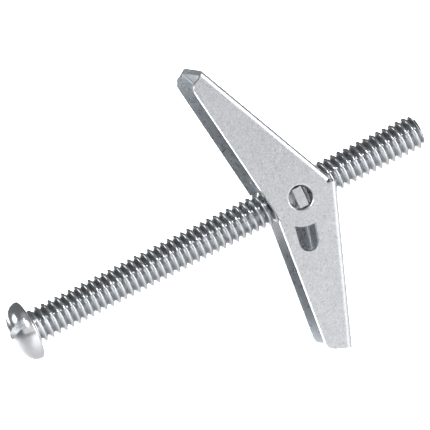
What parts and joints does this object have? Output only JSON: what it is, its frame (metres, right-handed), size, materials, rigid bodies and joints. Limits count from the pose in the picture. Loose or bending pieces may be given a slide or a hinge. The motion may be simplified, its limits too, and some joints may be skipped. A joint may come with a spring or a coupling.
{
  "type": "spring toggle bolt wall anchor",
  "caption": "Spring toggle wall anchor: slotted round-head screw, trunnion nut and sprung channel wings that fold back through a hole and open behind the wall.",
  "frame": {"origin": "on the screw's axis, in the plane of the head's flat underside", "axes": "+X along the screw from head to tip; the wings' hinge line lies along Y; the wings spread to +Z and -Z"},
  "size_m": [0.0786, 0.0131, 0.0541],
  "materials": {
    "screw_zinc": "bright zinc plate, polished",
    "wing_zinc": "bright zinc plate over rolled sheet, satin",
    "nut_zinc": "bright zinc plate, satin",
    "spring_wire": "drawn spring wire"
  },
  "bodies": {
    "screw": {"machine_screw": "screw_zinc"},
    "nut": {"trunnion_nut": "nut_zinc", "torsion_spring_coil": "spring_wire"},
    "upper_wing": {"upper_wing": "wing_zinc", "spring_upper_leg": "spring_wire"},
    "lower_wing": {"lower_wing": "wing_zinc", "spring_lower_leg": "spring_wire"}
  },
  "joints": [
    {"name": "nut_travel", "type": "slide", "parent": "screw", "child": "nut", "axis": [1, 0, 0], "range_m": [-0.022, 0.0205]},
    {"name": "upper_wing_hinge", "type": "hinge", "parent": "nut", "child": "upper_wing", "pos_m": [0.05015, 0, 0], "axis": [0, -1, 0], "range_deg": [0, 68], "stiffness_Nm_per_rad": 0.012, "springref_deg": -28.65},
    {"name": "lower_wing_hinge", "type": "hinge", "parent": "nut", "child": "lower_wing", "pos_m": [0.05015, 0, 0], "axis": [0, 1, 0], "range_deg": [0, 73], "stiffness_Nm_per_rad": 0.012, "springref_deg": -28.65}
  ]
}
